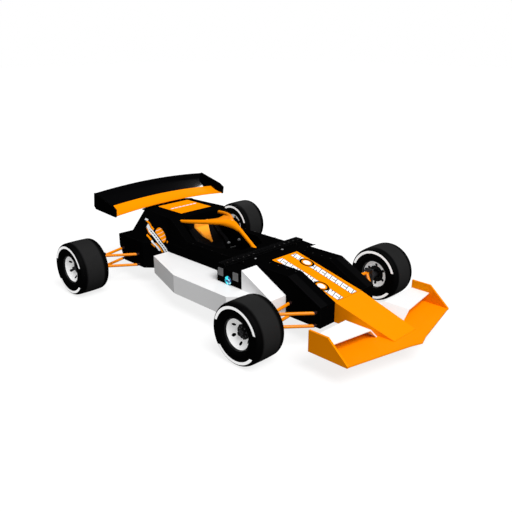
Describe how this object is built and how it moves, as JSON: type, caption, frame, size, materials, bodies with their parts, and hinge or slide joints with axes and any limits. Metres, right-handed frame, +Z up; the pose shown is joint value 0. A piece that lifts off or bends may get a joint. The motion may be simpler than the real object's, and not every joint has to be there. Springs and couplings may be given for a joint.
{
  "type": "open wheel racing car",
  "caption": "Open wheel racing car with a low wedge body, flat side pods, a halo over an open cockpit, a full-width front wing, an arched rear wing and wide slick tyres.",
  "frame": {"origin": "on the ground, under the middle of the whole car", "axes": "+X to the nose, +Y to the car's left, +Z up"},
  "size_m": [4.452, 3.169, 1.1869],
  "materials": {
    "orange_panel": "gloss",
    "white_panel": "gloss",
    "black_panel": "satin",
    "orange_tube": "gloss",
    "dark_metal": "satin",
    "wheel_metal": "satin",
    "tyre_rubber": "matte",
    "floor_board": "matte",
    "seat_shell": "matte",
    "seat_pad": "soft",
    "lens": "gloss",
    "grip": "matte"
  },
  "bodies": {
    "chassis": {"cockpit_tub": "black_panel", "column_bracket": "dark_metal", "cross_beam": "black_panel", "engine_block": "dark_metal", "engine_cover": "black_panel", "floor_plank": "floor_board", "front_body": "black_panel", "front_endplate_left": "orange_panel", "front_endplate_right": "orange_panel", "front_flap_left": "white_panel", "front_flap_right": "white_panel", "front_wing_plane": "orange_panel", "halo": "orange_tube", "headrest": "seat_pad", "lamp_housing_left": "black_panel", "lamp_housing_right": "black_panel", "lamp_lenses": "lens", "nose_cone": "orange_panel", "rear_case": "black_panel", "rear_endplate_left": "black_panel", "rear_endplate_right": "black_panel", "rear_wing_plane": "black_panel", "seat": "seat_shell", "side_fairing_left": "white_panel", "side_fairing_right": "white_panel", "side_pod_left": "white_panel", "side_pod_right": "white_panel", "upright_rear_left": "dark_metal", "upright_rear_right": "dark_metal", "wing_pylons": "dark_metal", "wishbones_front_left": "orange_tube", "wishbones_front_right": "orange_tube", "wishbones_rear_left": "orange_tube", "wishbones_rear_right": "orange_tube"},
    "knuckle_left": {"upright_front_left": "dark_metal"},
    "knuckle_right": {"upright_front_right": "dark_metal"},
    "steering": {"steering_wheel": "grip"},
    "wheel_front_left": {"tyre_front_left": "tyre_rubber", "rim_front_left": "wheel_metal"},
    "wheel_front_right": {"tyre_front_right": "tyre_rubber", "rim_front_right": "wheel_metal"},
    "wheel_rear_left": {"tyre_rear_left": "tyre_rubber", "rim_rear_left": "wheel_metal"},
    "wheel_rear_right": {"tyre_rear_right": "tyre_rubber", "rim_rear_right": "wheel_metal"}
  },
  "joints": [
    {"name": "steer_left", "type": "hinge", "parent": "chassis", "child": "knuckle_left", "pos_m": [0.945, 0.8435, 0.323], "axis": [0, 0, 1], "range_deg": [-18, 18]},
    {"name": "steer_right", "type": "hinge", "parent": "chassis", "child": "knuckle_right", "pos_m": [0.945, -0.8435, 0.323], "axis": [0, 0, 1], "range_deg": [-18, 18]},
    {"name": "steering_column", "type": "hinge", "parent": "chassis", "child": "steering", "pos_m": [-0.527, 0, 0.548], "axis": [-0.9703, 0, 0.2419], "range_deg": [-144, 144]},
    {"name": "spin_front_left", "type": "hinge", "parent": "knuckle_left", "child": "wheel_front_left", "pos_m": [0.945, 1.1565, 0.335], "axis": [0, 1, 0], "continuous": true},
    {"name": "spin_front_right", "type": "hinge", "parent": "knuckle_right", "child": "wheel_front_right", "pos_m": [0.945, -1.1565, 0.335], "axis": [0, 1, 0], "continuous": true},
    {"name": "spin_rear_left", "type": "hinge", "parent": "chassis", "child": "wheel_rear_left", "pos_m": [-1.839, 1.3915, 0.335], "axis": [0, 1, 0], "continuous": true},
    {"name": "spin_rear_right", "type": "hinge", "parent": "chassis", "child": "wheel_rear_right", "pos_m": [-1.839, -1.3915, 0.335], "axis": [0, 1, 0], "continuous": true}
  ],
  "couplings": [
    {"joint": "steer_right", "follows": "steer_left", "ratio": 1},
    {"joint": "steering_column", "follows": "steer_left", "ratio": 8}
  ]
}
